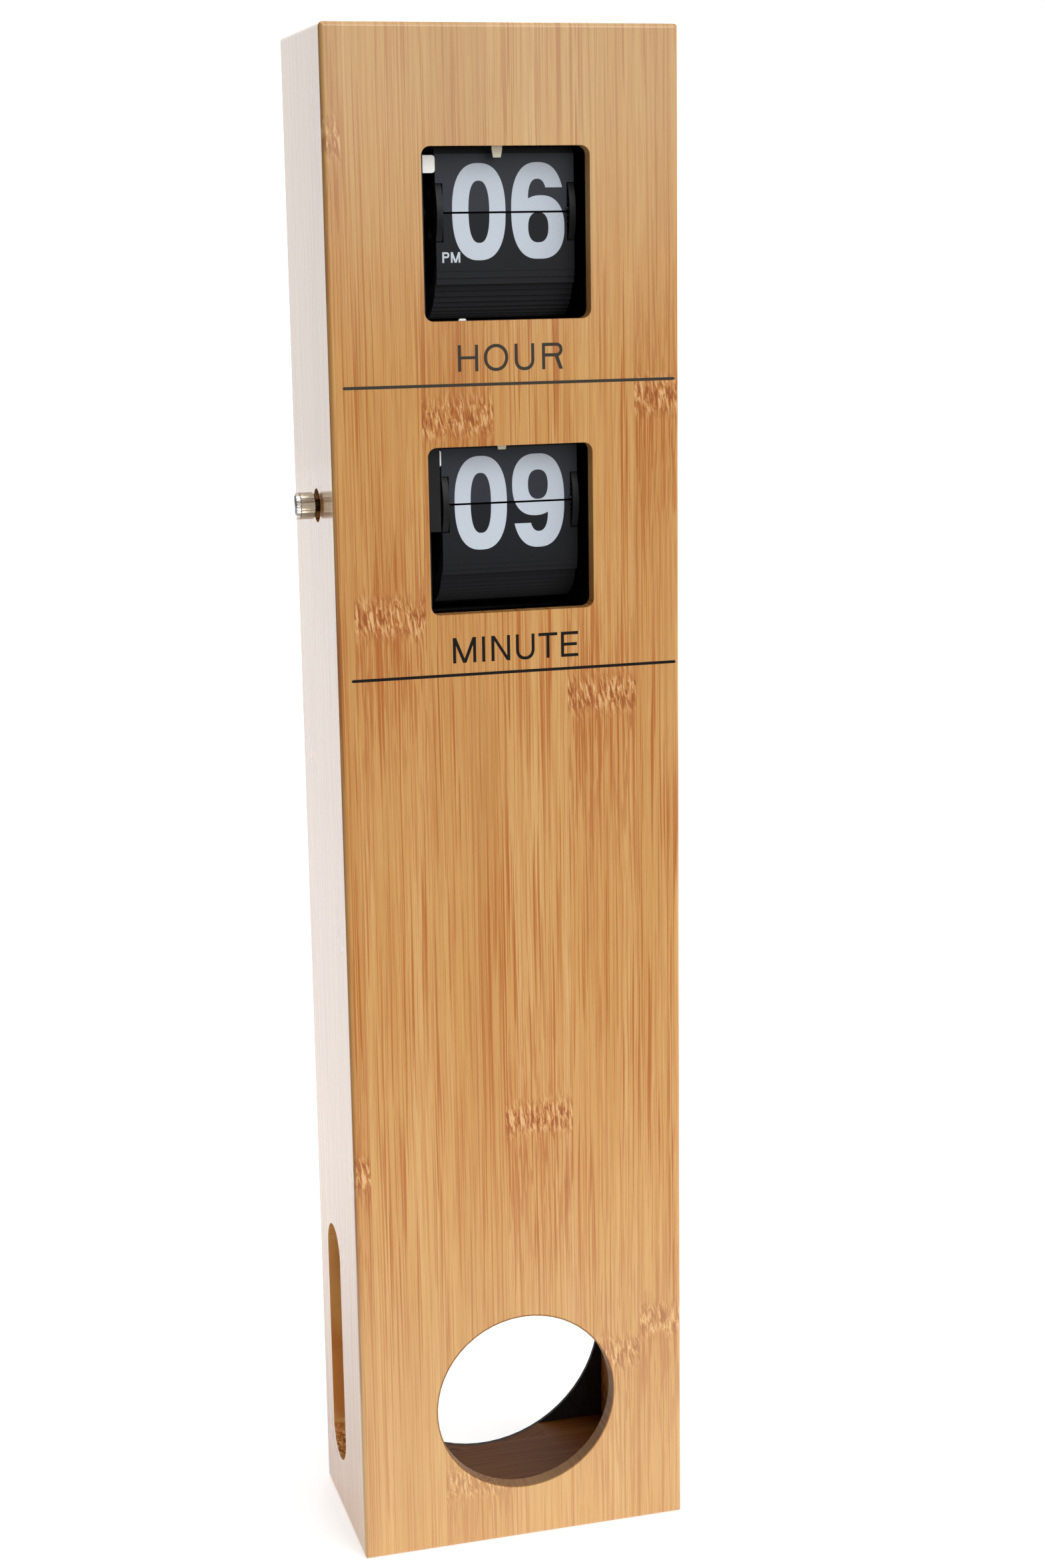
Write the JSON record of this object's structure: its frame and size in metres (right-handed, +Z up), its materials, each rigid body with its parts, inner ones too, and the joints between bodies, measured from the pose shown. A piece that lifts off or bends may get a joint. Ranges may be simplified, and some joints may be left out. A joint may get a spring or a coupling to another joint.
{
  "type": "flip clock with a pendulum bay",
  "caption": "Tall wooden table clock with split-flap hour and minute drums behind two square windows, a round see-through pendulum bay and a knurled setting knob on its side.",
  "frame": {"origin": "centre of the case's bottom face, on the surface that it stands on", "axes": "+X to the right as seen from the front, +Y towards the back, +Z up; the front with the windows faces -Y"},
  "size_m": [0.1174, 0.062, 0.488],
  "materials": {
    "bamboo_front": "satin",
    "bamboo_side": "satin",
    "black_board": "matte",
    "black_plastic": "matte",
    "leaf_black": "satin",
    "steel": "satin",
    "screw_steel": "satin",
    "motor_steel": "satin",
    "brass": "satin",
    "cream_plastic": "gloss",
    "white_plastic": "gloss",
    "cell_jacket": "gloss",
    "copper": "satin",
    "board_green": "matte",
    "magnet": "satin"
  },
  "bodies": {
    "frame": {"front_panel": "bamboo_front", "left_panel": "bamboo_side", "right_panel": "bamboo_side", "top_board": "bamboo_side", "floor_board": "bamboo_side", "shelf": "bamboo_side", "back_panel": "black_board", "back_screws": "screw_steel", "plate_left": "black_plastic", "plate_right": "black_plastic", "plate_screws": "screw_steel", "tie_rods": "steel", "rod_screws": "screw_steel", "hour_catch_bar": "black_plastic", "hour_catch": "cream_plastic", "hour_stop": "white_plastic", "hour_rest": "white_plastic", "minute_catch_bar": "black_plastic", "minute_catch": "cream_plastic", "minute_stop": "white_plastic", "train_pins": "steel", "motor": "motor_steel", "motor_posts": "brass", "motor_screws": "screw_steel", "battery_box": "black_plastic", "box_screws": "screw_steel", "battery_cell": "cell_jacket", "cell_contacts": "steel", "drive_box": "black_plastic", "drive_screws": "screw_steel", "drive_coil": "copper", "drive_board": "board_green", "hanger_pin": "steel"},
    "minute_drum": {"minute_drum": "black_plastic", "minute_leaves": "leaf_black", "minute_axle": "steel", "set_knob": "steel", "set_pinion": "brass", "drive_wheel": "brass"},
    "minute_leaf": {"minute_flip_leaf": "leaf_black"},
    "hour_drum": {"hour_drum": "black_plastic", "hour_leaves": "leaf_black", "hour_axle": "steel", "hour_gear": "brass"},
    "hour_leaf": {"hour_flip_leaf": "leaf_black"},
    "gear_a": {"train_gear_a": "brass"},
    "gear_b": {"train_gear_b": "brass"},
    "gear_c": {"train_gear_c": "brass"},
    "motor_rotor": {"motor_pinion": "brass", "motor_shaft": "steel"},
    "door": {"battery_door": "black_plastic"},
    "hanger": {"hanger": "steel", "hanger_magnet": "magnet"}
  },
  "joints": [
    {"name": "minute_turn", "type": "hinge", "parent": "frame", "child": "minute_drum", "pos_m": [0, -0.0055, 0.3454], "axis": [1, 0, 0], "continuous": true},
    {"name": "minute_flip", "type": "hinge", "parent": "minute_drum", "child": "minute_leaf", "pos_m": [0, -0.02098, 0.34621], "axis": [1, 0, 0], "range_deg": [0, 172]},
    {"name": "hour_turn", "type": "hinge", "parent": "frame", "child": "hour_drum", "pos_m": [0, -0.0055, 0.4333], "axis": [1, 0, 0], "continuous": true},
    {"name": "hour_flip", "type": "hinge", "parent": "hour_drum", "child": "hour_leaf", "pos_m": [0, -0.02097, 0.43431], "axis": [1, 0, 0], "range_deg": [0, 172]},
    {"name": "gear_a_turn", "type": "hinge", "parent": "frame", "child": "gear_a", "pos_m": [0, -0.0055, 0.36641], "axis": [1, 0, 0], "continuous": true},
    {"name": "gear_b_turn", "type": "hinge", "parent": "frame", "child": "gear_b", "pos_m": [0, 0.00051, 0.38211], "axis": [1, 0, 0], "continuous": true},
    {"name": "gear_c_turn", "type": "hinge", "parent": "frame", "child": "gear_c", "pos_m": [0, 0.00045, 0.40592], "axis": [1, 0, 0], "continuous": true},
    {"name": "motor_turn", "type": "hinge", "parent": "frame", "child": "motor_rotor", "pos_m": [0, 0.00169, 0.32565], "axis": [1, 0, 0], "continuous": true},
    {"name": "door_open", "type": "hinge", "parent": "frame", "child": "door", "pos_m": [0, 0.02885, 0.25485], "axis": [-1, 0, 0], "range_deg": [0, 95]},
    {"name": "hanger_swing", "type": "hinge", "parent": "frame", "child": "hanger", "pos_m": [0, 0.0072, 0.236], "axis": [0, 1, 0], "range_deg": [-6, 6]}
  ],
  "couplings": [
    {"joint": "hour_turn", "follows": "minute_turn", "ratio": 0.041667},
    {"joint": "gear_a_turn", "follows": "minute_turn", "ratio": -0.25},
    {"joint": "gear_b_turn", "follows": "minute_turn", "ratio": 0.083333},
    {"joint": "gear_c_turn", "follows": "minute_turn", "ratio": -0.017857},
    {"joint": "motor_turn", "follows": "minute_turn", "ratio": -4}
  ]
}
